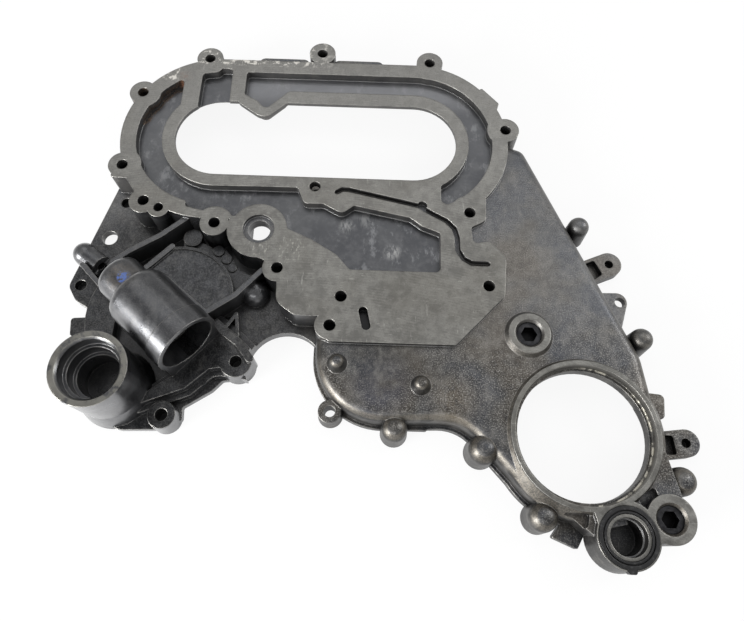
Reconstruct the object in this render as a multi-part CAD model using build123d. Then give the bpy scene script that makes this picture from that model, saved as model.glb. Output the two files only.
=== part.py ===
"""Timing cover of an engine: one aluminium casting with a coolant pump volute, two ports and a crank seal
bore, plus two hexagon socket plugs and a rubber port seal.

Millimetres. Heights in this file are measured above the rear gasket face, with +Z out of the machined front
face. The finished pieces are lowered by datum_z, which puts the origin in the middle of the crank seal bore.
+X runs along the long axis of the stadium window.
"""
from build123d import *
from math import atan2, cos, degrees, hypot, radians, sin
import os

os.makedirs("parts", exist_ok=True)

# Levels of the casting above the rear gasket face
face_z = 24.0
skin_z = 21.0
channel_depth = 5.5
web_thickness = 4.0
skin_thickness = 4.0
plate_z = 6.0
flange_thickness = 4.5
over = 1.0

# Walls
side_wall = 4.0
rail_wall = 6.0
flange_proud = 2.0
shoulder_radius = 7.0
rib_thickness = 3.0

# Stadium window and the housing round it
window_left = (-213.0, 177.0)
window_right = (-92.5, 177.0)
window_radius = 27.2
rim_left = (-212.4, 177.6)
rim_right = (-93.3, 177.6)
rim_radius = 35.8
housing_left = (-215.0, 178.5)
housing_right = (-92.0, 178.5)
housing_radius = 59.0
rail_width = 9.75
lip_height = 2.5
lip_flare = 7.0
tongue_thickness = 8.5
tongue_edge = 3.0
tongue_inset = 3.5
channel_corner_radius = 2.0

# Crank seal bore
crank_ring_radius = 39.6
crank_skirt_radius = 44.0
crank_body_radius = 44.5
seal_bore_radius = 37.0
seal_bore_depth = 6.0
sleeve_bore_radius = 35.0
sleeve_depth = 12.0
datum_z = face_z - seal_bore_depth / 2


def rail_place(centre, angle, proud):
    """A place by its angle round a housing centre and its distance outside the housing's arc."""
    reach = housing_radius + proud
    return (centre[0] + reach * cos(radians(angle)), centre[1] + reach * sin(radians(angle)))


# Tapped holes in the machined front face
tap_radius = 3.4
tap_depth = 16.0
boss_radius = 8.5
boss_land = 11.5
face_bolts = {
    "top_left": rail_place(housing_left, 100.2, 1.3),
    "top_middle": (-152.4, housing_left[1] + housing_radius + 7.4),
    "top_right": rail_place(housing_right, 80.5, 3.2),
    "left_upper": rail_place(housing_left, 148.8, -0.3),
    "right_upper": rail_place(housing_right, 10.1, -0.2),
    "left_middle": rail_place(housing_left, 203.8, 0.5),
    "left_lower": rail_place(housing_left, 232.1, 2.4),
    "lower_left": rail_place(housing_left, 275.7, 3.1),
    "window_lower": (-151.1, window_left[1] - window_radius - 6.4),
    "right_lower": rail_place(housing_right, 304.5, 1.1),
    "pad_left": (-169.5, 88.9),
    "pad_right": (-48.1, 81.8),
    "pad_middle": (-132.1, 72.6),
    "pad_corner": (-137.5, 55.1),
}
boss_land_at = {"top_right": 13.3, "window_lower": 10.0, "lower_left": 10.8}
dowel_place = rail_place(housing_left, 242.0, 0.8)
dowel_radius = 2.9
dowel_depth = 9.0
dowel_boss_radius = 6.5
dowel_land = 10.5

# Plain bore beside the pump
plain_bore_place = (-182.3, 113.6)
plain_bore_radius = 6.5
plain_bore_counter_radius = 9.3
plain_bore_counter_depth = 2.5
plain_bore_boss_radius = 18.6
plain_bore_land = 16.5

# Seal groove and oil slot in the pad
groove_width = 3.2
groove_depth = 4.0
groove_run = [
    (-137.5, 140.0),
    (-134.5, 141.9),
    (-130.5, 141.9),
    (-88.5, 132.4),
    (-80.0, 127.2),
    (-72.0, 122.8),
    (-67.5, 118.0),
    (-65.8, 112.0),
    (-65.6, 104.0),
    (-62.5, 98.5),
    (-57.5, 95.6),
    (-48.5, 95.5),
]
groove_pocket_place = (-86.3, 132.6)
groove_pocket_radius = 2.9
slot_width = 5.0
slot_depth = 5.5
slot_ends = ((-119.3, 64.0), (-117.3, 55.4))

# Hexagon plugs
plug_radius = 6.8
plug_clearance = 0.2
plug_length = 8.0
plug_recess = 2.2
plug_mouth_radius = 8.2
plug_mouth_depth = 1.6
plug_hex_flats = 8.0
plug_hex_depth = 5.0
plug_seat_radius = 5.0
upper_plug_place = (-26.5, 54.3)
upper_plug_boss_radius = 11.6
upper_plug_boss_base = 14.2
lower_plug_place = (39.0, -41.8)
lower_plug_boss_radius = 12.4

# Oil port and its seal
port_place = (16.5, -50.9)
port_boss_radius = 16.0
port_boss_base = 17.2
corner_low_z = 6.0
port_bore_radius = 9.5
port_bore_depth = 15.0
port_turned_depth = 5.0
port_cored_radius = 8.8
port_spigot_radius = 11.2
seal_outer_radius = 15.0
seal_clearance = 0.15
seal_groove_depth = 5.0
seal_height = 5.4
seal_tab_z = face_z - 3.5
seal_lip_radius = 12.4
seal_lip_gap = 0.7
seal_lip_depth = 1.2
port_ledge_z = 18.0
port_ledge_thickness = 3.0

# Coolant pump body: heights of its floor, terraces, top floor, strip and fan
pump_floor_z = 4.0
terrace_z = 8.5
terrace_step = 3.6
pump_top_z = 13.0
strip_z = 12.0
volute_place = (-237.5, 62.0)
volute_radius = 42.0
volute_z = 10.0
fan_place = (-225.5, 70.5)
fan_radius = 32.0
fan_z = 19.5
fan_rim = 1.7
fan_sink = 1.0
fan_wall = 5.0
ridge_z = 20.5
long_rib_z = 21.0
foot_rib_z = 12.0
pump_bolt_depth = 10.0
pump_bolts = {"lower": (-226.5, 4.4, 7.6), "right": (-189.5, 35.5, 9.0)}
pump_bolt_draft = 0.8

# Coolant inlet, upright
inlet_place = (-256.5, 20.4)
inlet_z = 45.0
inlet_outer_radius = 20.0
inlet_chamfer = 1.2
inlet_bores = ((15.7, 8.0), (13.7, 16.0), (11.8, 30.0))
inlet_foot_radius = 22.5
inlet_foot_z = 16.0

# Coolant outlet, lying down
outlet_mouth = (-211.8, 38.8)
outlet_direction = -41.5
outlet_z = 32.0
outlet_collar_radius = 18.8
outlet_collar_length = 10.5
outlet_radius = 18.2
outlet_length = 45.0
outlet_shoulder = 6.0
outlet_bore_radius = 16.1
outlet_bore_depth = 14.0
outlet_inner_radius = 14.8
outlet_inner_depth = 38.0
neck_radius = 13.0
neck_length = 16.0
neck_round = 5.0
wall_inset = 0.7

# Threaded lug behind the pump and the thin wall beside it
lug_back = (-281.5, 94.8)
lug_front = (-271.0, 87.6)
lug_z = 20.5
lug_back_radius = 6.8
lug_front_radius = 6.4
lug_hole_radius = 2.6
lug_hole_depth = 9.0
thin_wall_ends = ((-279.0, 85.5), (-257.5, 64.2))
thin_wall_thickness = 2.7
thin_wall_z = 27.0

# Holes in the thin plate left of the pump
plate_hole_radius = 3.4
plate_hole_depth = 4.5
plate_holes = {"corner": (-287.8, 81.3), "inner": (-269.9, 138.0)}
drain_place = (-276.1, 113.2)
drain_radius = 4.6
drain_counter_radius = 7.5
drain_counter_z = 1.5

# Bolt pillars with ball tops, and domes on the skin
pillar_centre_z = 14.0
pillars = {
    "right_top": (9.4, 126.6, 6.2),
    "right_middle": (39.0, 55.8, 6.5),
    "right_low": (50.7, -22.1, 7.6),
    "crank_low": (-23.2, -42.0, 7.8),
    "crank_left": (-52.6, -8.8, 8.3),
    "bottom": (-100.1, 0.4, 7.0),
}
pillar_base_extra = 0.6
domes = {"left": (-132.3, 34.0, 4.2), "right": (-86.5, 23.3, 4.2)}
dome_height = 8.0
dome_base_extra = 1.8

# Lugs of the gasket flange
lug_radius = 7.6
lug_thickness = 6.0
lug_pocket_floor = 1.5
upper_lug_ends = ((16.0, 101.0), (28.9, 106.5))
low_lug_ends = ((44.0, -2.5), (60.3, -0.4))
lug_bolt_radius = 2.6
lug_bolt_depth = 5.0
eye_place = (33.5, 82.3)
eye_radius = 3.0
eyelet_place = (-135.6, 9.4)
eyelet_z = 12.0
eyelet_base_radius = 7.0
eyelet_top_radius = 6.4
eyelet_bore_radius = 3.1


def rounded(points):
    """A face bounded by straight runs; each point is x, y and the radius of its corner."""
    corners = [(x, y) for x, y, radius in points]
    radii = [radius for x, y, radius in points]
    return make_face(FilletPolyline(*corners, radius=radii, close=True))


def disc(place, radius):
    return Pos(place[0], place[1]) * Circle(radius)


def block(place, width, depth):
    return Pos(place[0], place[1]) * Rectangle(width, depth)


def stadium(left, right, radius):
    """A slot shape between two centres."""
    length = hypot(right[0] - left[0], right[1] - left[1])
    turn = degrees(atan2(right[1] - left[1], right[0] - left[0]))
    middle = ((left[0] + right[0]) / 2, (left[1] + right[1]) / 2)
    return Pos(*middle) * Rot(0, 0, turn) * SlotCenterToCenter(length, 2 * radius)


def slab(face, low, high):
    """The face raised into a block between two levels."""
    return extrude(Pos(0, 0, low) * face, high - low, dir=(0, 0, 1))


def post(place, radius, low, high):
    return Pos(place[0], place[1], (low + high) / 2) * Cylinder(radius, high - low)


def drafted_post(place, base_radius, top_radius, low, high):
    return Pos(place[0], place[1], (low + high) / 2) * Cone(base_radius, top_radius, high - low)


def ball_post(place, base_radius, radius, low, centre_z):
    """A drafted post with a ball on top."""
    shape = drafted_post(place, base_radius, radius, low, centre_z)
    return shape + Pos(place[0], place[1], centre_z) * Sphere(radius)


def ribbon(points, width):
    """A band of constant width along a run of points, with round ends."""
    runs = [stadium(a, b, width / 2) for a, b in zip(points, points[1:])]
    return Sketch() + runs


def soften(face, radius):
    """The outline with its inside and outside corners rounded to a radius."""
    closed = offset(offset(face, radius), -radius)
    return offset(offset(closed, -radius), radius)


def round_bar(radius, length, end_round):
    """A bar that starts at its own z = 0 and runs down to a rounded end."""
    bar = Cylinder(radius, length, align=(Align.CENTER, Align.CENTER, Align.MAX))
    return fillet(bar.edges().sort_by(Axis.Z)[0], end_round)


pad_outline = rounded(
    [
        (-196.0, 150.0, 1.0),
        (-196.0, 101.0, 4.0),
        (-174.0, 92.0, 1.0),
        (-169.2, 84.0, 1.0),
        (-168.4, 68.0, 8.0),
        (-158.0, 60.4, 5.0),
        (-142.5, 60.2, 1.0),
        (-141.5, 50.0, 1.0),
        (-138.0, 45.7, 3.0),
        (-67.6, 45.8, 1.5),
        (-39.2, 76.0, 5.0),
        (-37.5, 100.0, 7.0),
        (-47.0, 110.5, 5.0),
        (-56.5, 108.0, 3.0),
        (-57.5, 119.0, 2.0),
        (-48.5, 124.0, 4.0),
        (-48.0, 140.0, 1.0),
        (-70.0, 150.0, 1.0),
    ]
)
horn_outline = rounded(
    [
        (-60.0, 214.0, 1.0),
        (-48.0, 220.5, 1.0),
        (-37.5, 209.0, 1.5),
        (-40.0, 200.0, 1.0),
        (-60.0, 200.0, 1.0),
    ]
)
skin_outline = rounded(
    [
        (-139.0, 62.0, 1.0),
        (-145.0, 48.0, 6.0),
        (-145.0, 2.2, 38.0),
        (-64.0, 5.5, 26.0),
        (-37.5, -24.0, 2.0),
        (0.0, -20.0, 1.0),
        (42.5, 0.0, 1.0),
        (36.4, 44.0, 20.0),
        (-22.2, 178.0, 6.0),
        (-40.0, 184.0, 2.0),
    ]
)
corner_outline = rounded(
    [
        (-12.0, -40.0, 1.0),
        (4.0, -54.0, 3.0),
        (20.0, -60.0, 3.0),
        (44.0, -48.0, 2.0),
        (47.0, -30.0, 4.0),
        (42.0, -10.0, 6.0),
        (38.0, 8.0, 1.0),
        (20.0, -20.0, 1.0),
    ]
)
seal_tab_outline = rounded([(14.2, -63.5, 0.5), (14.2, -68.0, 1.2), (18.6, -68.0, 1.2), (18.6, -63.5, 0.5)])
port_ledge_outline = rounded([(4.0, -47.9, 0.5), (19.3, -44.4, 0.8), (16.8, -39.0, 0.5), (4.0, -39.0, 0.5)])
corner_web = rounded(
    [
        (0.0, -38.2, 0.5),
        (3.0, -50.0, 1.0),
        (24.0, -54.6, 1.0),
        (39.0, -52.4, 1.0),
        (34.0, -42.0, 1.0),
        (28.3, -38.2, 1.5),
        (24.2, -35.2, 1.5),
        (19.5, -33.2, 0.5),
    ]
)
corner_pockets = [
    rounded(
        [(24.5, -31.0, 1.0), (33.5, -26.0, 1.5), (35.0, -30.0, 1.0), (29.0, -37.0, 1.0), (25.5, -35.0, 1.0)]
    ),
    rounded([(-13.5, -39.8, 1.0), (-1.0, -40.2, 1.0), (-2.5, -47.0, 2.0), (-12.5, -47.0, 1.0)]),
]
corner_pocket_depth = 3.0
lower_channel = rounded(
    [
        (-222.0, 141.8, 0.5),
        (-228.0, 127.2, 0.5),
        (-188.0, 118.0, 1.0),
        (-165.0, 114.0, 1.0),
        (-151.5, 108.0, 6.0),
        (-136.0, 98.5, 6.0),
        (-128.0, 89.2, 3.0),
        (-75.6, 89.2, 3.0),
        (-75.6, 114.6, 2.0),
        (-86.5, 118.8, 3.0),
        (-93.5, 124.2, 2.0),
        (-127.0, 131.2, 2.5),
        (-134.0, 125.4, 5.0),
        (-145.5, 131.8, 5.0),
        (-157.0, 131.5, 4.0),
        (-161.3, 142.4, 2.0),
    ]
)
plate_outline = rounded(
    [
        (-262.0, 158.0, 1.0),
        (-275.5, 152.0, 2.0),
        (-294.8, 80.5, 6.0),
        (-289.0, 71.5, 6.0),
        (-276.0, 64.0, 2.0),
        (-235.0, 62.0, 1.0),
        (-170.0, 66.0, 1.0),
        (-165.0, 100.0, 1.0),
        (-215.0, 130.0, 1.0),
    ]
)
boss_foot_outline = rounded(
    [
        (-271.0, 158.0, 1.0),
        (-275.6, 145.5, 1.5),
        (-265.4, 145.1, 1.0),
        (-257.0, 133.0, 1.0),
        (-253.0, 150.0, 1.0),
    ]
)
rib_root_outline = rounded(
    [
        (-283.5, 98.0, 1.0),
        (-277.0, 101.4, 1.0),
        (-266.0, 102.0, 2.0),
        (-258.0, 97.5, 1.0),
        (-268.9, 90.0, 1.0),
        (-278.0, 92.0, 1.0),
    ]
)
rib_root_z = 19.0
plate_tab_outline = rounded(
    [(-289.5, 60.5, 2.0), (-288.0, 49.5, 2.0), (-270.0, 46.0, 1.0), (-270.0, 62.0, 1.0)]
)
pump_outline = rounded(
    [
        (-280.0, 62.0, 1.0),
        (-272.0, 8.0, 12.0),
        (-252.0, -3.0, 8.0),
        (-222.0, -2.0, 2.0),
        (-217.5, 4.0, 2.0),
        (-218.0, 10.5, 1.5),
        (-203.0, 20.4, 3.0),
        (-197.5, 26.5, 2.0),
        (-182.0, 28.0, 3.0),
        (-181.0, 50.0, 3.0),
        (-190.0, 84.0, 1.0),
        (-260.0, 84.0, 1.0),
    ]
)
top_floor_outline = rounded(
    [
        (-243.0, 8.5, 1.0),
        (-219.3, 18.0, 1.0),
        (-215.6, 19.6, 1.0),
        (-203.8, 30.8, 1.0),
        (-198.0, 31.8, 1.0),
        (-183.0, 30.0, 1.0),
        (-180.8, 42.5, 1.5),
        (-189.0, 50.0, 1.0),
        (-203.0, 61.0, 1.0),
        (-222.0, 40.0, 1.0),
        (-223.5, 26.5, 1.0),
        (-241.0, 13.5, 1.0),
    ]
)
volute_flat_outline = rounded(
    [(-285.0, 44.0, 1.0), (-262.0, 48.0, 1.0), (-262.0, 92.0, 1.0), (-285.0, 92.0, 1.0)]
)
fan_outline = rounded(
    [
        (-246.0, 88.5, 0.5),
        (-231.5, 104.5, 0.5),
        (-205.0, 112.0, 0.5),
        (-182.0, 86.0, 0.5),
        (-192.5, 73.4, 0.5),
        (-207.6, 61.8, 0.5),
        (-233.0, 60.0, 0.5),
    ]
)
strip_outline = rounded(
    [
        (-228.0, 98.0, 1.0),
        (-228.5, 110.6, 2.0),
        (-217.1, 108.9, 1.0),
        (-210.8, 105.8, 1.0),
        (-203.6, 106.1, 1.0),
        (-198.7, 99.6, 1.0),
        (-193.1, 92.0, 1.0),
        (-186.9, 88.9, 1.0),
        (-180.0, 91.0, 1.0),
        (-179.0, 87.0, 1.0),
        (-194.0, 74.0, 1.0),
        (-215.0, 90.0, 1.0),
    ]
)
strip_posts = ((-222.9, 111.2, 5.6, 2.0), (-206.8, 103.6, 3.4, 1.0), (-201.6, 98.6, 3.2, 0.8))
dial_place = (-197.6, 93.0)
dial_radius = 2.8
dial_height = 0.8
ridge_run = [(-207.6, 61.8), (-192.5, 72.7), (-178.6, 88.8)]
fan_rib_run = [(-232.5, 81.8), (-207.6, 61.8)]
corner_rib_run = [(-245.3, 88.1), (-232.3, 102.2)]
long_rib_run = [(-267.0, 89.3), (-256.2, 98.3), (-240.3, 108.7), (-225.0, 122.0)]
foot_rib_run = [(-199.0, 53.6), (-192.3, 64.4), (-190.3, 51.1)]
ramp_run = [(-197.0, 52.0), (-189.0, 46.5), (-181.5, 37.0)]
ramp_z = 15.0
valley_ball = (-183.3, 79.0, 8.5)
valley_ball_z = 9.0

web_outline = rounded(
    [
        (-196.0, 72.0, 1.0),
        (-190.0, 30.0, 1.0),
        (-138.0, 30.0, 1.0),
        (-138.0, 66.0, 1.0),
        (-165.0, 92.0, 1.0),
    ]
)
web_arc_place = (-162.5, 33.5)
web_arc_radius = 22.0

lug_pockets = [
    rounded([(10.0, 104.5, 1.0), (20.0, 109.0, 1.5), (24.5, 99.8, 1.5), (14.0, 92.0, 1.0)]),
    rounded([(44.0, 3.5, 1.0), (53.6, 3.5, 1.5), (54.6, -7.0, 1.5), (44.0, -7.0, 1.0)]),
]
eye_lug_outline = rounded([(22.0, 88.0, 1.0), (40.0, 88.5, 6.0), (33.0, 66.0, 2.0), (28.0, 66.0, 1.0)])
tab_root = crank_body_radius - 2.5
right_tab_outline = rounded(
    [
        (tab_root, 27.6, 1.0),
        (crank_body_radius + 8.1, 26.6, 3.0),
        (crank_body_radius + 6.7, 13.2, 3.0),
        (tab_root, 11.0, 1.0),
    ]
)
low_tab_outline = rounded(
    [
        (-10.0, -tab_root, 1.0),
        (1.5, -crank_body_radius - 3.5, 1.0),
        (-3.6, -crank_body_radius - 12.5, 1.0),
        (-16.8, -crank_body_radius - 7.0, 1.0),
    ]
)
heel_tab_outline = rounded([(-97.0, 8.0, 1.0), (-97.0, 2.0, 1.5), (-82.0, 2.0, 1.5), (-78.0, 8.0, 1.0)])

tongue_outline = rounded(
    [
        (-212.0, 220.0, 1.0),
        (-203.0, 203.2, 6.0),
        (-186.0, 191.0, 8.0),
        (-172.0, 205.0, 6.0),
        (-164.0, 220.0, 1.0),
    ]
)
dip_outline = rounded(
    [
        (-200.5, 224.0, 1.0),
        (-200.5, 210.0, 2.0),
        (-191.5, 205.0, 5.0),
        (-186.0, 198.7, 3.5),
        (-172.0, 213.6, 6.0),
        (-160.0, 213.8, 1.0),
        (-160.0, 224.0, 1.0),
    ]
)
channel_ribs = [block((-220.25, 215.0), 39.5, 46.0)]
channel_breaks = [block((-118.0, 130.0), 86.0, 36.0)]
channel_end = rounded(
    [
        (-79.0, 148.0, 1.0),
        (-75.5, 136.0, 1.0),
        (-60.0, 128.0, 1.0),
        (-84.0, 122.0, 1.0),
        (-90.0, 148.0, 1.0),
    ]
)
channel_pocket = rounded(
    [
        (-229.2, 196.0, 0.5),
        (-229.0, 225.5, 3.0),
        (-219.0, 227.0, 3.0),
        (-217.0, 230.0, 2.0),
        (-209.8, 230.0, 2.5),
        (-209.3, 196.0, 0.5),
    ]
)
humps = ((-177.5, 33.0), (-128.5, 33.0))
hump_proud = 5.5
hump_z = 20.0


def window_cut():
    """The stadium window, flared open behind its lip, with the tongue of the rim that dips into it."""
    opening = stadium(window_left, window_right, window_radius)
    lip_z = face_z - lip_height
    cut = slab(opening, lip_z, face_z + over)
    cut += extrude(Pos(0, 0, lip_z) * opening, -lip_flare, taper=-45)
    cut -= slab(tongue_outline, face_z - tongue_edge, face_z + over)
    return cut - slab(offset(tongue_outline, -tongue_inset), face_z - tongue_thickness, face_z)


def channel_shape():
    """The recessed floor round the window rim, broken by two ribs and by the lands of the bosses."""
    ring = stadium(housing_left, housing_right, housing_radius - rail_width)
    ring -= stadium(rim_left, rim_right, rim_radius)
    ring -= channel_ribs + channel_breaks
    ring -= channel_end
    ring += lower_channel + dip_outline
    for name, place in face_bolts.items():
        ring -= disc(place, boss_land_at.get(name, boss_land))
    ring -= disc(dowel_place, dowel_land)
    ring -= disc(plain_bore_place, plain_bore_land)
    return soften(ring, channel_corner_radius)


def machined_shape():
    """Outline of everything that reaches the machined front face on the pump side."""
    shape = stadium(housing_left, housing_right, housing_radius) + pad_outline + horn_outline
    for place in face_bolts.values():
        shape += disc(place, boss_radius)
    shape += disc(dowel_place, dowel_boss_radius)
    shape += disc(plain_bore_place, plain_bore_boss_radius)
    return shape + boss_foot_outline


def cavity_shapes():
    """Rear hollows under the machined block and under the cast skin."""
    behind_face = stadium(housing_left, housing_right, housing_radius - rail_wall)
    behind_face += offset(pad_outline, -rail_wall)
    behind_skin = offset(skin_outline, -side_wall)
    behind_skin += disc((0, 0), crank_body_radius - side_wall)
    return behind_face, behind_skin


def main_body():
    """The block under the machined face, the skin with its round shoulder, and the gasket flange."""
    outline = soften(skin_outline + disc((0, 0), crank_body_radius), shoulder_radius + 1.0)
    skin = slab(outline, 0, skin_z)
    skin = fillet(skin.faces().sort_by(Axis.Z)[-1].outer_wire().edges(), shoulder_radius)
    flange = slab(offset(outline, flange_proud), 0, flange_thickness)
    body = skin + flange + slab(machined_shape(), 0, face_z)
    return body + slab(corner_outline, corner_low_z, skin_z) + slab(corner_web, skin_z - over, face_z)


def outlet_frame(distance):
    """A plane across the outlet axis, the given distance back from the mouth, facing out of it."""
    turn = radians(outlet_direction)
    place = (outlet_mouth[0] - distance * cos(turn), outlet_mouth[1] - distance * sin(turn), outlet_z)
    return Plane(origin=place, x_dir=(-sin(turn), cos(turn), 0), z_dir=(cos(turn), sin(turn), 0))


def under_bar(radius, near, far):
    """The upright walls that carry the lower half of a lying bar, between two distances from the mouth."""
    half = radius - wall_inset
    middle = outlet_frame((near + far) / 2).origin
    footprint = Pos(middle.X, middle.Y) * Rot(0, 0, outlet_direction) * Rectangle(far - near, 2 * half)
    return slab(footprint, 0, outlet_z)


def outlet():
    """The lying outlet tube with its collar, and the rounded neck behind it."""
    shape = outlet_frame(0) * round_bar(outlet_radius, outlet_length, outlet_shoulder)
    shape += extrude(outlet_frame(outlet_collar_length) * Circle(outlet_collar_radius), outlet_collar_length)
    neck_start = outlet_length - outlet_shoulder
    shape += outlet_frame(neck_start) * round_bar(neck_radius, neck_length + outlet_shoulder, neck_round)
    shape += under_bar(outlet_radius, 0, neck_start)
    return shape + under_bar(neck_radius, neck_start, outlet_length + neck_length - neck_round)


def fan():
    """The flat top of the volute beside the tube, with a low rim."""
    outline = fan_outline & disc(fan_place, fan_radius)
    shape = slab(outline, 0, fan_z)
    shape -= slab(offset(outline, -fan_rim), fan_z - fan_sink, fan_z + over)
    return shape - slab(offset(outline, -fan_wall), -over, fan_z - fan_wall)


def pump_ribs():
    """The thin walls that stand on the volute and on the plate beside it."""
    ribs = slab(ribbon(long_rib_run, rib_thickness), 0, long_rib_z)
    ribs += slab(rib_root_outline, 0, rib_root_z)
    ribs += slab(ribbon(ridge_run, rib_thickness), 0, ridge_z)
    ribs += slab(ribbon(fan_rib_run, rib_thickness - 1.0), pump_floor_z, ridge_z)
    ribs += slab(ribbon(corner_rib_run, rib_thickness), 0, ridge_z)
    ribs += slab(ribbon(foot_rib_run, rib_thickness - 1.0), 0, foot_rib_z)
    ribs += slab(ribbon(ramp_run, rib_thickness + 1.5), 0, ramp_z)
    return ribs


def pump_details():
    """The strip of small bosses between the fan and the machined block, and the ball in the valley."""
    details = slab(strip_outline, 0, strip_z)
    for x, y, radius, height in strip_posts:
        details += post((x, y), radius, strip_z - over, strip_z + height)
    details += post(dial_place, dial_radius, strip_z - over, strip_z + dial_height)
    x, y, radius = valley_ball
    details += Pos(x, y, valley_ball_z) * Sphere(radius) - post((x, y), radius + over, -radius, 0)
    return details


def threaded_lug():
    """The lying threaded boss with its rounded back, and the thin wall that runs from it to the tube."""
    across = (lug_front[0] - lug_back[0], lug_front[1] - lug_back[1])
    length = hypot(*across)
    frame = Plane(origin=(*lug_back, lug_z), z_dir=(across[0], across[1], 0))
    lug = ball_post(lug_back, lug_back_radius + pillar_base_extra, lug_back_radius, 0, lug_z)
    lug += extrude(frame * Circle(lug_front_radius), length)
    lug += slab(stadium(lug_back, lug_front, lug_front_radius - wall_inset), 0, lug_z) - slab(
        disc((lug_front[0] + across[0], lug_front[1] + across[1]), length), -over, lug_z + over
    )
    hole_start = Pos(0, 0, length - lug_hole_depth)
    lug -= extrude(frame * hole_start * Circle(lug_hole_radius), lug_hole_depth + over)
    return lug + slab(ribbon(thin_wall_ends, thin_wall_thickness), 0, thin_wall_z)


def pump_body():
    """Plate, terraces, floor in front of the mouth, volute and inlet of the coolant pump."""
    body = slab(plate_outline + web_outline + plate_tab_outline, 0, plate_z)
    body += slab(pump_outline, 0, pump_floor_z)
    body += slab(offset(top_floor_outline, terrace_step), 0, terrace_z)
    body += slab(top_floor_outline, 0, pump_top_z)
    body += slab(disc(volute_place, volute_radius) & volute_flat_outline, 0, volute_z)
    body -= post(web_arc_place, web_arc_radius, -over, ridge_z)
    for x, y, radius in pump_bolts.values():
        body += drafted_post((x, y), radius + pump_bolt_draft, radius, 0, pump_top_z)
    body += post(inlet_place, inlet_outer_radius, 0, inlet_z)
    body += drafted_post(inlet_place, inlet_foot_radius, inlet_outer_radius, 0, inlet_foot_z)
    return body + fan() + outlet() + pump_ribs() + pump_details() + threaded_lug()


def edge_lugs():
    """Flat lugs and tabs that stick out of the gasket flange."""
    lugs = slab(stadium(*upper_lug_ends, lug_radius) + stadium(*low_lug_ends, lug_radius), 0, lug_thickness)
    tabs = eye_lug_outline + right_tab_outline + low_tab_outline + heel_tab_outline
    lugs += slab(tabs, 0, flange_thickness)
    lugs += drafted_post(eyelet_place, eyelet_base_radius, eyelet_top_radius, 0, eyelet_z)
    for pocket in lug_pockets:
        lugs -= slab(pocket, lug_pocket_floor, lug_thickness + over)
    for ends in (upper_lug_ends, low_lug_ends):
        lugs -= post(ends[-1], lug_bolt_radius, lug_thickness - lug_bolt_depth, lug_thickness + over)
    return lugs - post(eye_place, eye_radius, -over, lug_thickness + over)


def ball_pillars():
    shapes = Part()
    for x, y, radius in pillars.values():
        shapes += ball_post((x, y), radius + pillar_base_extra, radius, 0, pillar_centre_z)
    for x, y, radius in domes.values():
        centre_z = skin_z + dome_height - radius
        shapes += ball_post((x, y), radius + dome_base_extra, radius, skin_z - over, centre_z)
    return shapes


def front_bosses():
    """The crank ring, the oil port boss, the plug bosses and the humps behind the top rail."""
    bosses = post((0, 0), crank_ring_radius, 0, face_z)
    bosses += drafted_post((0, 0), crank_skirt_radius, crank_ring_radius, skin_z - side_wall, face_z - over)
    plug_foot = skin_z - over
    bosses += drafted_post(upper_plug_place, upper_plug_boss_base, upper_plug_boss_radius, plug_foot, face_z)
    bosses += post(upper_plug_place, upper_plug_boss_radius, face_z - plug_length - side_wall, face_z)
    bosses += drafted_post(port_place, port_boss_base, port_boss_radius, corner_low_z, face_z)
    bosses += post(lower_plug_place, lower_plug_boss_radius, 0, face_z)
    top = housing_left[1] + housing_radius + hump_proud
    for x, length in humps:
        left, right, low = x - length / 2, x + length / 2, top - 2 * hump_proud
        bosses += slab(rounded([(left, low, 1), (left, top, 4), (right, top, 4), (right, low, 1)]), 0, hump_z)
    return bosses


def plug_hole(place):
    top = face_z - plug_recess
    hole_radius = plug_radius + plug_clearance
    hole = post(place, hole_radius, top - plug_length, face_z + over)
    hole += drafted_post(place, hole_radius, plug_mouth_radius, face_z - plug_mouth_depth, face_z)
    return hole + post(place, plug_seat_radius, -over, face_z)


def crank_bore():
    bore = post((0, 0), seal_bore_radius, face_z - seal_bore_depth, face_z + over)
    bore += post((0, 0), sleeve_bore_radius, face_z - sleeve_depth - over, face_z)
    return bore + post((0, 0), crank_body_radius - side_wall, -over, face_z - sleeve_depth)


def port_hole():
    hole = post(port_place, port_bore_radius, face_z - port_turned_depth, face_z + over)
    hole += post(port_place, port_cored_radius, face_z - port_bore_depth, face_z)
    spigot = post(port_place, port_spigot_radius, 0, face_z + 2 * over) - hole
    ledge = port_ledge_outline & disc(port_place, port_bore_radius + over)
    hole -= slab(ledge, port_ledge_z - port_ledge_thickness, port_ledge_z)
    groove_radius = seal_outer_radius + seal_clearance
    groove = post(port_place, groove_radius, face_z - seal_groove_depth, face_z + over)
    notch = slab(offset(seal_tab_outline, seal_clearance), seal_tab_z - seal_clearance, face_z + over)
    return hole + (groove - spigot - post(port_place, port_bore_radius, 0, face_z + 2 * over)) + notch


def inlet_hole():
    hole = drafted_post(
        inlet_place, inlet_bores[0][0], inlet_bores[0][0] + inlet_chamfer, inlet_z - inlet_chamfer, inlet_z
    )
    for radius, depth in inlet_bores:
        hole += post(inlet_place, radius, inlet_z - depth, inlet_z + over)
    return hole


def pump_holes():
    """The outlet bore and the holes of the pump flange, the plate and the eyelet."""
    holes = extrude(outlet_frame(outlet_bore_depth) * Circle(outlet_bore_radius), outlet_bore_depth + over)
    holes += extrude(outlet_frame(outlet_inner_depth) * Circle(outlet_inner_radius), outlet_inner_depth)
    for x, y, radius in pump_bolts.values():
        holes += post((x, y), tap_radius, pump_top_z - pump_bolt_depth, pump_top_z + 2 * over)
    for place in plate_holes.values():
        holes += post(place, plate_hole_radius, plate_z - plate_hole_depth, plate_z + over)
    holes += post(drain_place, drain_radius, -over, plate_z + over)
    holes += post(drain_place, drain_counter_radius, -over, drain_counter_z)
    return holes + post(eyelet_place, eyelet_bore_radius, -over, eyelet_z + over)


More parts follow.
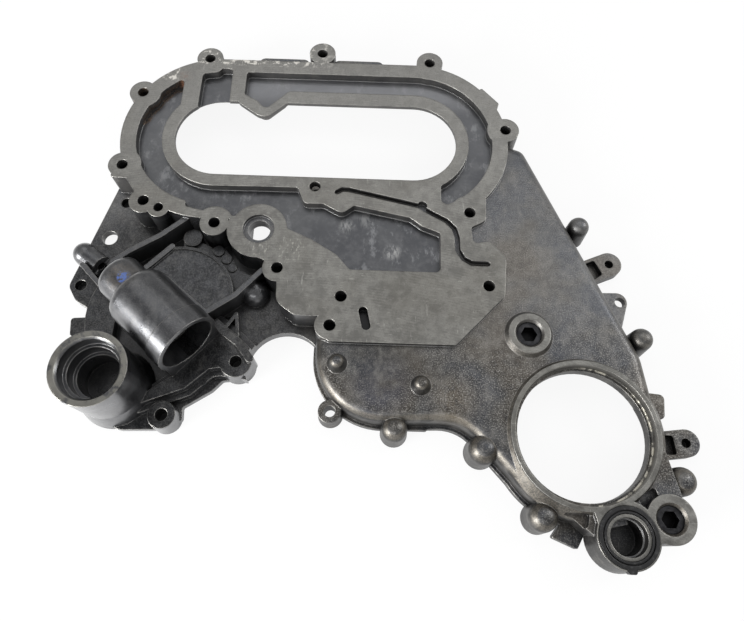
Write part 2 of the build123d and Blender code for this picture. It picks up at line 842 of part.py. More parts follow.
def face_cuts():
    """Everything that is cut into the machined front face."""
    floor = face_z - channel_depth
    cuts = slab(channel_shape() + channel_pocket, floor, face_z + over) + window_cut()
    grooves = ribbon(groove_run, groove_width) + disc(groove_pocket_place, groove_pocket_radius)
    cuts += slab(grooves, face_z - groove_depth, face_z + over)
    cuts += slab(stadium(*slot_ends, slot_width / 2), face_z - slot_depth, face_z + over)
    for place in face_bolts.values():
        cuts += post(place, tap_radius, face_z - tap_depth, face_z + over)
    cuts += post(dowel_place, dowel_radius, face_z - dowel_depth, face_z + over)
    cuts += post(plain_bore_place, plain_bore_radius, -over, face_z + over)
    counter_floor = face_z - plain_bore_counter_depth
    cuts += post(plain_bore_place, plain_bore_counter_radius, counter_floor, face_z + over)
    for pocket in corner_pockets:
        cuts += slab(pocket, skin_z - corner_pocket_depth, skin_z + over)
    return cuts


def build_casting():
    body = main_body()
    behind_face, behind_skin = cavity_shapes()
    body -= slab(behind_face, -over, face_z - channel_depth - web_thickness)
    body -= slab(behind_skin, -over, skin_z - skin_thickness)
    for place in face_bolts.values():
        body += post(place, boss_radius - 1.0, face_z - tap_depth - 3.0, face_z)
    body += post((0, 0), crank_body_radius, face_z - sleeve_depth, skin_z - shoulder_radius)
    body += front_bosses()
    body += pump_body()
    body += edge_lugs() + ball_pillars()
    body -= face_cuts()
    body -= crank_bore() + port_hole()
    body -= plug_hole(upper_plug_place) + plug_hole(lower_plug_place)
    return body - (inlet_hole() + pump_holes())


def hexagon_plug(place):
    top = face_z - plug_recess
    plug = post(place, plug_radius, top - plug_length, top)
    socket = Pos(place[0], place[1]) * RegularPolygon(plug_hex_flats / 2, 6, major_radius=False)
    return plug - slab(socket, top - plug_hex_depth, top + over)


def port_seal():
    """The rubber ring with its two lips and the tab that lies in the notch of the boss."""
    low = face_z - seal_groove_depth
    top = low + seal_height
    ring = post(port_place, seal_outer_radius, low, top) + slab(seal_tab_outline, seal_tab_z, top)
    gap = post(port_place, seal_lip_radius + seal_lip_gap, top - seal_lip_depth, top + over)
    ring -= gap - post(port_place, seal_lip_radius, low, top + 2 * over)
    return ring - post(port_place, port_spigot_radius + seal_clearance, low - over, top + over)


def write(shape, name):
    placed = Pos(0, 0, -datum_z) * shape
    export_step(placed, f"parts/{name}.step")
    box = placed.bounding_box()
    print(name, len(placed.solids()), round(placed.volume), box.min, box.max)


write(build_casting(), "cover_casting")
write(hexagon_plug(upper_plug_place), "upper_hex_plug")
write(hexagon_plug(lower_plug_place), "lower_hex_plug")
write(port_seal(), "port_seal")
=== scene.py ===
# %% [markdown]
# This script dresses one cast aluminium timing cover. Its shape comes from a CAD model that is
# already exact, so nothing here changes a dimension. The first step loads that model.

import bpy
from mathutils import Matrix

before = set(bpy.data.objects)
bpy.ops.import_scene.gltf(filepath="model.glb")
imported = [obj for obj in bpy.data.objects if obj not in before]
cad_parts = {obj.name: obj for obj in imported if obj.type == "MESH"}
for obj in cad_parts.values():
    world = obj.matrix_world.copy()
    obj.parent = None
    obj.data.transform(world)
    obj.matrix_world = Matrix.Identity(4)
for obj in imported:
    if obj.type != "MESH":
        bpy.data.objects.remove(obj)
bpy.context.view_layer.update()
print("nodes in the frame:", sorted(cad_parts))

# %% [markdown]
# Numbers on a drawing are in millimetres, and the scene works in metres, so one factor and one small
# helper turn one into the other. Heights are counted from the rear gasket face, because a casting is
# measured from there. The frame's origin lies in the middle of the crank seal bore, 21 mm higher.
# Three heights come back again and again: the machined face, the cast skin and the channel floors.

# %% Units and levels
import bmesh
import bpy
from math import cos, radians, sin
from mathutils import Matrix, Vector

MM = 0.001
DATUM = 21.0
FACE = 24.0
SKIN = 21.0
CHANNEL = 18.5


def level(height):
    """A height above the gasket face, in millimetres, as a z of the frame, in metres."""
    return (height - DATUM) * MM


print("machined face at z =", level(FACE), "and channel floors at z =", level(CHANNEL))

# %% [markdown]
# The camera comes first, because every colour is judged through it. The photograph was taken from in
# front of the cover, looking steeply down. The view is set by three directions: forward, right and
# down. A look-at constraint would be quicker to write, but it cannot give the slight roll of a camera
# in the hand.

# %% Directions of the lens
view_depression = radians(69.05)
view_roll = radians(-1.90)

forward = Vector((0.0, cos(view_depression), -sin(view_depression)))
flat_right = Vector((1.0, 0.0, 0.0))
flat_down = forward.cross(flat_right)
lens_right = flat_right * cos(view_roll) + flat_down * sin(view_roll)
lens_down = flat_down * cos(view_roll) - flat_right * sin(view_roll)
print("the camera looks along", [round(value, 3) for value in forward])

# %% [markdown]
# A lens is known by its focal length. Here it was measured in pixels of the picture, so it is scaled
# to the width of a camera's sensor. That keeps the cover as large in our picture as it is in the
# photograph.

# %% Camera
picture_width = 744.0
focal_in_pixels = 634.5
sensor_width = 36.0
eye = (-0.11424, -0.06224, 0.334)

camera_data = bpy.data.cameras.new("photo_camera")
camera_data.sensor_width = sensor_width
camera_data.lens = sensor_width * focal_in_pixels / picture_width
camera_data.clip_start = 0.01
camera = bpy.data.objects.new("photo_camera", camera_data)
turn = Matrix((lens_right, -lens_down, -forward)).transposed().to_4x4()
camera.matrix_world = Matrix.Translation(eye) @ turn
bpy.context.scene.collection.objects.link(camera)
bpy.context.scene.camera = camera
print("lens of", round(camera_data.lens, 2), "mm")

# %% [markdown]
# Shader maths reads badly as a web of little boxes. We wrap a node's socket in a class whose plus,
# minus and times signs make the Math nodes for us. A formula such as 1 - mask then works as it looks.
# Colours are kept away from these signs, because a Math node would turn them grey.

# %% Sockets that add and multiply


class Flow:
    """One value in a material: a socket that takes part in Python sums."""

    def __init__(self, shading, socket):
        self.shading = shading
        self.socket = socket

    def maths(self, operation, *terms):
        return self.shading.node("ShaderNodeMath", {"operation": operation}, list(terms))

    def __add__(self, other):
        return self.maths("ADD", self, other)

    def __radd__(self, other):
        return self.maths("ADD", other, self)

    def __sub__(self, other):
        return self.maths("SUBTRACT", self, other)

    def __rsub__(self, other):
        return self.maths("SUBTRACT", other, self)

    def __mul__(self, other):
        return self.maths("MULTIPLY", self, other)

    def __rmul__(self, other):
        return self.maths("MULTIPLY", other, self)

    def over(self, edge, width):
        """0 below the edge, 1 above it, and a soft step of the given width between them."""
        settings = {"interpolation_type": "SMOOTHSTEP"}
        ends = {"Value": self, "From Min": edge - width / 2, "From Max": edge + width / 2}
        return self.shading.node("ShaderNodeMapRange", settings, ends)

    def under(self, edge, width):
        return 1 - self.over(edge, width)

    def between(self, low, high, width):
        return self.over(low, width) * self.under(high, width)

    def near(self, value, reach, width):
        return self.between(value - reach, value + reach, width)


print("sockets can take part in sums")

# %% [markdown]
# Every other node is made by one method: it takes the node's type, its settings, and the values or
# links of its sockets. A class holds it, so that it serves materials and the world alike. We could
# join nodes by hand in the shader editor, but then nobody could read why a number is what it is.

# %% Nodes by one method


class Shading:
    """A tree of shader nodes."""

    def __init__(self, tree):
        self.tree = tree

    def node(self, kind, settings, values, output=0):
        made = self.tree.nodes.new(kind)
        for name, value in settings.items():
            setattr(made, name, value)
        named = values.items() if isinstance(values, dict) else enumerate(values)
        for key, value in named:
            self.give(self.pick(made.inputs, key), value)
        return Flow(self, self.pick(made.outputs, output))

    def pick(self, sockets, key):
        """A socket by its name, or by its place among those that are in use."""
        in_use = [socket for socket in sockets if socket.enabled]
        if isinstance(key, int):
            return in_use[key]
        return next(socket for socket in in_use if socket.name == key)

    def give(self, socket, value):
        """A socket gets a link or a plain value."""
        if isinstance(value, Flow):
            self.tree.links.new(value.socket, socket)
        else:
            socket.default_value = value


print("nodes can be made")

# %% [markdown]
# A finish is a Principled shader with layers of colour and relief in front of it. Every finish starts
# with the same inputs: the place on the cover, and how far the surface faces up. Masks made from these
# two fit any mesh, where painted masks would need it to be unwrapped first.

# %% A finish


class Finish(Shading):
    """A material with its Principled shader and the inputs that its layers share."""

    def __init__(self, name, **constants):
        self.material = bpy.data.materials.new(name)
        self.material.use_nodes = True
        super().__init__(self.material.node_tree)
        self.shader = self.tree.nodes["Principled BSDF"]
        for socket, value in constants.items():
            self.shader.inputs[socket.replace("_", " ")].default_value = value
        self.place = self.node("ShaderNodeNewGeometry", {}, {}, "Position")
        self.x = self.node("ShaderNodeSeparateXYZ", {}, [self.place], "X")
        self.y = self.node("ShaderNodeSeparateXYZ", {}, [self.place], "Y")
        self.z = self.node("ShaderNodeSeparateXYZ", {}, [self.place], "Z")
        facing = self.node("ShaderNodeNewGeometry", {}, {}, "True Normal")
        self.up = self.node("ShaderNodeSeparateXYZ", {}, [facing], "Z")

    def feed(self, socket, value):
        self.give(self.shader.inputs[socket], value)


print("finishes can be made")

# %% [markdown]
# The whole casting is one piece of metal with several skins. The front face and the bosses were milled
# flat, so they are lighter and carry fine arcs. The rest came out of the die with a dark, slightly
# mottled skin, and oil has stained it darker round the pump. One material can hold all of it, because
# a mask can ask for the height and the direction of the surface.

# %% Masks by height
casting = Finish("cast_and_milled_aluminium", IOR=1.5, Coat_Roughness=0.22)
level_faces = casting.up.over(0.97, 0.02)
upper_sides = casting.up.over(0.9, 0.2)

milled = casting.z.near(level(FACE), 0.12 * MM, 0.04 * MM) * level_faces
in_channel = casting.z.near(level(CHANNEL), 0.2 * MM, 0.1 * MM) * casting.up.over(0.9, 0.1)
in_relief = casting.z.over(level(18.2), 0.2 * MM) * (1 - milled)
print("masks made for the milled face, the channel floors and the walls that stand on them")

# %% [markdown]
# Other finishes belong to a region of the cover. Two helpers find one: a distance in plan from a
# point, for round bores and for the pump, and a ball in space, for a spot of dirt or paint. Vertex
# groups would do it too, but they follow the triangles of the mesh, which are long and thin here.

# %% Masks by place
crank_middle = (0.0, 0.0)
pump_middle = (-240.0, 48.0)


def distance(finish, centre):
    """Distance in plan, in metres, from a point given in millimetres."""
    east = finish.x - centre[0] * MM
    north = finish.y - centre[1] * MM
    return finish.node("ShaderNodeMath", {"operation": "SQRT"}, [east * east + north * north])


def ball(finish, centre, radius, width):
    """1 inside a ball given in millimetres above the gasket face, 0 outside it."""
    point = (centre[0] * MM, centre[1] * MM, level(centre[2]))
    settings = {"operation": "DISTANCE"}
    away = finish.node("ShaderNodeVectorMath", settings, [finish.place, point], "Value")
    return away.under(radius * MM, width * MM)


from_crank = distance(casting, crank_middle)
seal_wall = from_crank.between(36.2 * MM, 37.3 * MM, 0.1 * MM)
seal_wall = seal_wall * casting.z.over(level(17.9), 0.1 * MM)
near_pump = distance(casting, pump_middle).under(88.0 * MM, 30.0 * MM) * (1 - milled)
pump_flats = near_pump * level_faces
low_skin = casting.y.under(55.0 * MM, 60.0 * MM) * casting.x.over(-150.0 * MM, 20.0 * MM)
low_skin = low_skin * (1 - milled)
print("masks made for the seal bore, the pump, its flats and the low skin")

# %% [markdown]
# Every edge of a real casting is a little round, and handling wears it bright. A Bevel node gives a
# normal that bends near an edge. We use it twice: as the normal of the surface, and, where it departs
# from the plain one, as a mask of the edges. Bevelling the mesh would be the other way, but the mesh
# stays as the CAD made it.

# %% Edges


def rounded(finish, radius):
    """A normal that turns round every edge, with the radius in millimetres."""
    return finish.node("ShaderNodeBevel", {"samples": 6}, {"Radius": radius * MM}, "Normal")


rounded_edges = rounded(casting, 1.0)
plain_normal = casting.node("ShaderNodeNewGeometry", {}, {}, "Normal")
compared = [rounded_edges, plain_normal]
likeness = casting.node("ShaderNodeVectorMath", {"operation": "DOT_PRODUCT"}, compared, "Value")
near_edge = (1 - likeness).over(0.085, 0.09)
print("edge mask made, from edges rounded by 1 mm")

# %% [markdown]
# Die-cast skin is never one grey. Large soft clouds come from the way the metal froze, and a finer
# grain from the blasting afterwards. Each is a noise of its own size, and seeds keep them from lining
# up. One noise of many octaves would be shorter, but then the wide clouds could not be coloured apart
# from the fine grain.

# %% Noises of the casting


def noise(finish, grain, detail, rough, stretch=(1.0, 1.0, 1.0), seed=0.0):
    """Noise whose patches are about grain millimetres wide, from 0 to 1 round a middle of 0.5."""
    moves = {"Vector": finish.place, "Location": (seed, seed, seed), "Scale": stretch}
    moved = finish.node("ShaderNodeMapping", {"vector_type": "POINT"}, moves)
    values = {"Vector": moved, "Scale": 1.0 / (grain * MM), "Detail": detail, "Roughness": rough}
    return finish.node("ShaderNodeTexNoise", {}, values)


clouds = noise(casting, 38.0, 4.0, 0.6)
tints = noise(casting, 46.0, 3.0, 0.5, seed=0.63)
rubs = noise(casting, 9.0, 5.0, 0.7, stretch=(1.0, 0.6, 1.0), seed=0.31)
mottle = noise(casting, 5.0, 4.0, 0.6, seed=0.22)
grain = noise(casting, 0.7, 2.0, 0.5)
print("five noises made, with patches from 0.7 to 46 mm")

# %% [markdown]
# Paint is built up in coats, and so is a colour here: each coat has a mask and the colour it brings.
# First comes the grey of the clouds. The skin between the crank bore and the pad is darker than the
# rest, and wide patches lean to brown or to blue. A picture laid over the skin could follow the
# photograph stroke by stroke, but it would smear on the walls, where coats from noise hold.

# %% Cast skin


def tone(red, green, blue):
    """A colour as a screen shows it, 0 to 255, in the linear values that a shader wants."""
    steps = [value / 255.0 for value in (red, green, blue)]
    return tuple(s / 12.92 if s <= 0.04045 else ((s + 0.055) / 1.055) ** 2.4 for s in steps) + (1.0,)


def coats(finish, colour, *layers):
    """A colour under layers, each of them a mask and the colour that shows where the mask is 1."""
    for mask, above in layers:
        values = {"Factor": mask, "A": colour, "B": above}
        colour = finish.node("ShaderNodeMix", {"data_type": "RGBA", "clamp_factor": True}, values)
    return colour


skin_colour = coats(
    casting,
    tone(94, 94, 94),
    (clouds.over(0.5, 0.35), tone(111, 110, 109)),
    (low_skin * 0.9, tone(58, 57, 56)),
    (tints.over(0.54, 0.16) * 0.35 * upper_sides, tone(102, 92, 78)),
    (tints.under(0.46, 0.16) * 0.4 * upper_sides, tone(78, 84, 96)),
)
print("cast skin begun: grey clouds, the dark low skin, brown and blue patches")

# %% [markdown]
# Where the metal was hottest, thin oxide gives it a blue and a golden bloom. One noise could tint the
# whole skin, but a soft ball puts each bloom where the photograph shows it. A third ball is the shade
# under the pad, where the skin is nearly black.

# %% Heat tints
heat_blue = ball(casting, (-109.0, 24.0, SKIN), 13.0, 20.0)
heat_gold = ball(casting, (-69.0, 16.0, SKIN), 11.0, 18.0)
under_pad = ball(casting, (-113.0, 40.0, SKIN), 19.0, 26.0)

skin_colour = coats(
    casting,
    skin_colour,
    (heat_blue * 0.5 * clouds.over(0.4, 0.3), tone(70, 80, 108)),
    (heat_gold * 0.45, tone(120, 106, 82)),
    (under_pad * 0.6, tone(52, 52, 51)),
)
print("two heat tints and the shade under the pad made")

# %% [markdown]
# Blasting leaves light and dark grit, which shows where the surface faces up, and handling leaves pale
# rubs. Grains could be scattered as tiny meshes, but the two ends of one fine noise look the same from
# here. The shoulder round the low skin catches the light, so it gets a pale coat of its own.

# %% Grit, rubs and the shoulder
gritty = (0.2 + low_skin * 0.3) * upper_sides * (0.4 + clouds.over(0.45, 0.3)) + 0.08
gritty = gritty * (1 - under_pad * 0.6)
shoulder = low_skin * casting.up.between(0.45, 0.82, 0.16) * casting.z.over(level(14.0), 4.0 * MM)

skin_colour = coats(
    casting,
    skin_colour,
    (mottle.over(0.58, 0.24) * 0.35, tone(126, 124, 120)),
    (mottle.under(0.42, 0.24) * gritty, tone(66, 65, 65)),
    (grain.over(0.6, 0.2) * gritty, tone(152, 150, 146)),
    (grain.under(0.42, 0.2) * gritty, tone(50, 49, 48)),
    (rubs.over(0.60, 0.34) * (0.25 + low_skin * 0.15), tone(150, 147, 142)),
    (shoulder * (0.1 + grain.over(0.5, 0.3) * 0.25), tone(156, 148, 134)),
)
print("grit, rubs and the shoulder made")

# %% [markdown]
# The channel floors keep the smooth, bluish skin of the die. Towards the far side they are painted
# lighter, most of all in the long channel above the window: painted light that lifts these floors out
# of the shadow of their walls. Their own height finds them, so no face has to be picked by hand.

# %% Channel floors
top_channel = casting.y.over(210.0 * MM, 20.0 * MM) * casting.x.over(-200.0 * MM, 10.0 * MM)

channel_colour = coats(
    casting,
    tone(68, 69, 72),
    (clouds.over(0.52, 0.3), tone(84, 85, 87)),
    # painted light: the floors are made lighter towards the far side and in the top channel
    (casting.y.over(165.0 * MM, 60.0 * MM) * 0.4, tone(112, 113, 116)),
    (top_channel * 0.55, tone(146, 147, 150)),
    (mottle.over(0.55, 0.3) * 0.25, tone(120, 120, 122)),
    (rubs.over(0.6, 0.14) * 0.4, tone(150, 151, 153)),
)
skin_colour = coats(casting, skin_colour, (in_channel, channel_colour))
print("channel floors made")

# %% [markdown]
# The pump's flats, such as the fan beside the outlet tube, are nearly black and gritty. The rest of its
# body is a dark grey with a worn ring on the inlet's rim, and its walls are painted lighter: a painted
# reflection of the bright floor in front. A second material for the pump would end in a hard line on
# the skin, while this mask fades over three centimetres.

# %% Pump body
inlet_middle = (-256.5, 20.4)
rim_disc = distance(casting, inlet_middle).under(22.5 * MM, 1.0 * MM)
rim_top = casting.z.over(level(44.5), 1.0 * MM) * rim_disc
low_flats = pump_flats * casting.z.under(level(20.2), 0.5 * MM)

flats_colour = coats(
    casting,
    tone(24, 25, 27),
    (mottle.over(0.52, 0.3), tone(44, 45, 48)),
    (grain.over(0.54, 0.2) * 0.4, tone(92, 92, 92)),
    (rubs.over(0.6, 0.14) * 0.35, tone(104, 103, 100)),
)
pump_colour = coats(
    casting,
    tone(66, 67, 70),
    (rubs.over(0.58, 0.3) * 0.4, tone(112, 112, 112)),
    # painted reflection: walls of the pump that face sideways are made lighter
    (casting.up.under(0.55, 0.5) * 0.55, tone(112, 113, 116)),
    (mottle.over(0.56, 0.2) * 0.3, tone(96, 96, 97)),
    (grain.over(0.58, 0.3) * 0.35, tone(104, 104, 104)),
    (rim_top * mottle.over(0.42, 0.2) * 0.7, tone(130, 128, 120)),
    (low_flats, flats_colour),
)
skin_colour = coats(casting, skin_colour, (near_pump * 0.9, pump_colour))
print("pump body made, with its flats and the inlet's rim")

# %% [markdown]
# A fly cutter leaves wide shallow arcs on a milled face. Rings round a far centre look like them: they
# are nearly straight across the cover and turn a little. Gaps from a noise break them up, because a
# used face keeps only part of its pattern. A texture of straight lines would be simpler, but it looks
# like brushed sheet.

# %% Arcs of the cutter
ring_moves = {"Vector": casting.place, "Location": (0.16, 0.30, 0.0)}
ring_place = casting.node("ShaderNodeMapping", {"vector_type": "POINT"}, ring_moves)
ring_kind = {"wave_type": "RINGS", "rings_direction": "Z", "wave_profile": "SIN"}
ring_values = {
    "Vector": ring_place,
    "Scale": 190.0,
    "Distortion": 4.0,
    "Detail": 2.0,
    "Detail Scale": 40.0,
}
arcs = casting.node("ShaderNodeTexWave", ring_kind, ring_values, "Fac")

arc_gaps = noise(casting, 18.0, 3.0, 0.6, seed=0.52)
arc_marks = arcs.over(0.62, 0.5) * arc_gaps.over(0.5, 0.2)
print("cutter's arcs made")

# %% [markdown]
# Under and over the arcs lie dull blotches from old gasket paste, long scratches, and short marks from
# the scraper that took the paste off. The far side of the face is lighter, as in the photograph. The
# scratches are noise again, stretched along one axis, which is quicker than drawing each as a curve.

# %% Milled face
blotches = noise(casting, 13.0, 5.0, 0.62, seed=0.77)
scratches = noise(casting, 2.2, 4.0, 0.6, stretch=(1.0, 0.16, 1.0), seed=0.12)
scraper_marks = noise(casting, 1.4, 3.0, 0.6, stretch=(0.25, 1.6, 1.0), seed=0.57)

milled_colour = coats(
    casting,
    tone(102, 101, 98),
    (blotches.over(0.5, 0.3), tone(124, 123, 119)),
    (arc_marks * 0.24, tone(150, 149, 144)),
    (scratches.over(0.68, 0.06) * 0.5, tone(168, 167, 162)),
    (mottle.over(0.56, 0.2) * 0.35, tone(144, 143, 139)),
    (mottle.under(0.42, 0.2) * 0.35, tone(86, 85, 83)),
    (tints.over(0.56, 0.2) * 0.25, tone(92, 88, 80)),
    (casting.y.over(160.0 * MM, 120.0 * MM) * 0.4, tone(156, 155, 152)),
    (scraper_marks.over(0.66, 0.08) * 0.35, tone(166, 165, 160)),
    (scraper_marks.under(0.33, 0.08) * 0.35, tone(78, 77, 75)),
    (grain.under(0.42, 0.2) * 0.3, tone(84, 83, 80)),
)
metal_colour = coats(
    casting,
    skin_colour,
    (milled, milled_colour),
    (seal_wall * 0.7, tone(120, 118, 113)),
)
print("milled face made, and the turned wall of the seal bore")

# %% [markdown]
# Corners and deep bores get painted shade: their colour is made darker where the lamps alone would
# leave them too light. Ambient occlusion finds such places without a painted mask: it is small in a
# corner and 1 on an open face. A short reach finds the feet of walls, and a long one finds the bores.

# %% Painted shade in corners and bores


def openness(finish, reach):
    """1 on an open face and less in a corner, looking round as far as reach, in millimetres."""
    return finish.node("ShaderNodeAmbientOcclusion", {"samples": 8}, {"Distance": reach * MM}, "AO")


corners = openness(casting, 6.0)
crevices = openness(casting, 40.0)
# shade and depth are painted shade: a darker colour in corners and in deep bores
shade = corners.under(0.55, 0.6) * (0.5 + near_pump * 0.3 - in_relief * 0.3)
depth = crevices.under(0.36, 0.5) * (0.85 - in_relief * 0.5)
metal_colour = coats(casting, metal_colour, (shade, tone(36, 36, 37)), (depth, tone(18, 18, 19)))
print("dirt made, with a reach of 6 mm and of 40 mm")

# %% [markdown]
# The edge mask has two uses in the colour. On an open edge the oxide is worn off, so the metal is
# pale. At the foot of a channel wall it marks the small fillet that the die leaves, and there it paints
# a thin bright line, a painted highlight. Openness tells one kind of edge from the other.

# %% Worn edges and painted fillet highlights
worn = near_edge * corners.over(0.6, 0.3) * mottle.over(0.4, 0.3)
# painted highlight: a thin bright line at the foot of the channel walls
fillet_highlight = near_edge * corners.under(0.6, 0.3) * in_relief
metal_colour = coats(
    casting,
    metal_colour,
    (worn * 0.55, tone(172, 170, 165)),
    (fillet_highlight * 0.5, tone(160, 160, 160)),
)
print("worn edges and bright fillets made")

# %% [markdown]
# Black mud has caked along the outer wall of the upper left channel, with a brown fringe and a spot of
# rust at its end. It is thickest in the corner, so openness carries it, and noise breaks its edge into
# crusts. Modelled lumps would be the other way, but a crust this thin has no shape of its own.

# %% Mud and rust
bend_middle = (-215.0, 178.5)
mud_noise = noise(casting, 2.6, 5.0, 0.7, seed=0.5)
outer_wall = distance(casting, bend_middle).over(45.0 * MM, 2.0 * MM)
mud_place = outer_wall * casting.y.over(188.0 * MM, 6.0 * MM) * casting.x.under(-236.0 * MM, 4.0 * MM)
mud_reach = mud_place * (1 - milled) * (1 - corners + (mud_noise - 0.5) * 0.9)
mud = mud_reach.over(0.33, 0.07)
fringe = mud_reach.between(0.24, 0.35, 0.06)
rust = ball(casting, (-240.5, 222.5, 20.0), 5.0, 4.0) * mud_noise.over(0.5, 0.2) * (1 - milled * 0.6)

metal_colour = coats(
    casting,
    metal_colour,
    (fringe * 0.7, tone(134, 108, 82)),
    (mud * 0.95, tone(20, 16, 13)),
    (rust * 0.8, tone(120, 78, 52)),
)
print("mud, its fringe and a spot of rust made")

# %% [markdown]
# Water has dried to chalk in three places on the lower channel's floor: three balls, broken up by a
# noise that is stretched into streaks. The oil slot in the pad is painted nearly black down to its
# floor, as painted shade in that recess.

# %% Chalk and the oil slot
smudges = ball(casting, (-103.5, 103.6, CHANNEL), 4.0, 5.0)
smudges = smudges + ball(casting, (-130.9, 120.1, CHANNEL), 4.0, 5.0) * 0.6
smudges = smudges + ball(casting, (-119.0, 124.7, CHANNEL), 4.5, 6.0) * 0.4
streaks = noise(casting, 3.4, 5.0, 0.8, stretch=(2.2, 0.5, 1.0), seed=0.15)
chalk = smudges * streaks.over(0.5, 0.16)

slot_middle = (-119.1, 59.8)
# painted shade: the slot is made nearly black down to its floor
slot = distance(casting, slot_middle).under(9.0 * MM, 1.0 * MM) * (1 - milled) * in_relief
metal_colour = coats(
    casting,
    metal_colour,
    (chalk * 0.5, tone(188, 188, 186)),
    (slot * 0.85, tone(14, 14, 15)),
)
print("three chalk marks and the dark slot made")

# %% [markdown]
# Tools have nicked the milled face beside two of its holes, and white oxide has flaked along the top
# rail. Both are noise, cut to sharp islands by a narrow step and held to their places by a mask. Real
# chips would have to cut the mesh, and these are thinner than paint.

# %% Nicks and flakes
nicks = ball(casting, (-181.7, 104.1, FACE), 8.0, 3.0)
nicks = nicks + ball(casting, (-162.8, 100.3, FACE), 8.0, 3.0)
nick_lines = noise(casting, 1.8, 3.0, 0.6, stretch=(1.3, 0.6, 1.0), seed=0.33).over(0.6, 0.08)

flake_noise = noise(casting, 4.0, 5.0, 0.75, seed=0.9)
rail_edge = casting.y.over(233.5 * MM, 3.0 * MM) * casting.x.between(-236.0 * MM, -150.0 * MM, 20.0 * MM)
rail_patch = ball(casting, (-249.5, 225.5, FACE), 7.0, 4.0)
on_rail = casting.node("ShaderNodeMath", {"operation": "MAXIMUM"}, [rail_edge, rail_patch])
flakes = milled * flake_noise.over(0.55, 0.05) * on_rail

metal_colour = coats(
    casting,
    metal_colour,
    (nicks * nick_lines * milled * 0.35, tone(196, 194, 186)),
    (flakes * 0.85, tone(206, 203, 196)),
)
print("nicks and flakes made")

# %% [markdown]
# The pump's neck carries a dab of blue paint, and oil has stained the metal brown round it. Both are
# small balls in space that colour whatever surface passes through them, with noise to break their
# edges. A decal on its own little sheet would need fitting to the round neck.

# %% Paint dab and oil stain
dab_noise = noise(casting, 1.8, 3.0, 0.6, seed=0.2)
dab = ball(casting, (-246.9, 71.2, 44.5), 3.6, 1.2) * dab_noise.over(0.5, 0.1)
stain = ball(casting, (-246.9, 71.2, 44.0), 9.0, 7.0) * dab_noise.over(0.45, 0.3)
metal_colour = coats(
    casting,
    metal_colour,
    (stain * 0.3, tone(110, 100, 88)),
    (dab * 0.85, tone(52, 84, 150)),
)
print("paint dab and stain made")

# %% [markdown]
# A broken line of pale sealant is left on the step at the bottom of the crank bore, on its right side.
# A ring by distance, held between two heights, finds that step. It is the last coat of the colour.

# %% Old sealant
seal_step = from_crank.between(36.1 * MM, 37.3 * MM, 0.1 * MM) * casting.z.under(level(18.7), 0.2 * MM)
seal_step = seal_step * casting.z.over(level(17.8), 0.1 * MM)
crumbs = noise(casting, 4.0, 4.0, 0.7, seed=0.7).over(0.5, 0.06)
sealant = seal_step * casting.x.over(2.0 * MM, 12.0 * MM) * crumbs
metal_colour = coats(casting, metal_colour, (sealant * 0.85, tone(206, 202, 190)))
casting.feed("Base Color", metal_colour)
print("sealant made, and the casting's colour is complete")

# %% [markdown]
# Shine tells milled from cast more than colour does. The milled face is smoother, the channels have
# the gloss of untouched die skin, and mud, oxide and paint are dull. A thin clear coat stands for the
# oil: thick round the pump, except on its gritty flats, and hardly there on the skin. Less roughness
# alone would not do, because oil gives a second, sharper glint over the metal's soft one.

# %% Shine
roughness = 0.46 + (mottle - 0.5) * 0.2 + (clouds - 0.5) * 0.2
roughness = roughness - in_channel * 0.1 - near_pump * 0.1 + (rubs - 0.5) * near_pump * 0.6
roughness = roughness + milled * ((blotches - 0.5) * 0.3 - 0.04)
oily = near_pump * 0.75 - pump_flats * 0.6 + (1 - milled) * 0.15
casting.feed("Roughness", roughness + mud * 0.35 + flakes * 0.4)
casting.feed("Metallic", 0.92 - mud * 0.8 - flakes * 0.7 - dab * 0.8 - depth * 0.3)
casting.feed("Coat Weight", oily * (1 - mud) * (0.5 + mottle))
print("shine made: roughness, metal and oil")

# %% [markdown]
# Relief is built like the colour, one layer on the next, each with its real height. The cast skin has
# low waves and a blasted grain, the pump small dents, and the milled face fine lines. The rounded
# edges lie under them all. Moving the mesh itself would show little more at heights below a
# millimetre, and the mesh has to stay as it is.

# %% Relief


def relief(finish, height, depth, strength, under):
    """A Bump node: the height runs from 0 to 1, and depth is its real size in millimetres."""
    values = {"Height": height, "Distance": depth * MM, "Strength": strength, "Normal": under}
    return finish.node("ShaderNodeBump", {}, values)


waves = noise(casting, 14.0, 2.0, 0.5, seed=0.41)
pits = noise(casting, 0.8, 3.0, 0.6, seed=0.84)
low_waves = relief(casting, waves * (1 - milled), 0.5, 0.5, rounded_edges)
pump_dents = relief(casting, mottle * near_pump, 0.3, 0.25, low_waves)
cast_grain = relief(casting, pits * (1 - milled), 0.06, 0.45, pump_dents)
milled_lines = relief(casting, milled * (arcs * 0.6 + scratches * 0.4), 0.012, 0.4, cast_grain)
crusts = relief(casting, mud * mud_noise + flakes * flake_noise, 0.35, 0.6, milled_lines)
casting.feed("Normal", crusts)
print("relief made in five layers, from 0.012 to 0.5 mm deep")

# %% [markdown]
# The finish is ready and the casting can wear it. A piece of the frame is dressed by changing only
# its list of materials.

# %% Casting dressed


def dress(name, finish):
    """A node of the frame gets its finish."""
    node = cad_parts[name]
    node.data.materials.clear()
    node.data.materials.append(finish.material)
    print(name, "wears", finish.material.name, "with", len(finish.tree.nodes), "shader nodes")


dress("cover_casting", casting)

# %% [markdown]
# The two hexagon plugs are dark phosphated steel with a little oil. Phosphate is a coat of fine
# crystals, so the colour is cloudy and the shine uneven. Their sockets are deep and take little light,
# and a darker colour in the corners helps the lamps to show that.

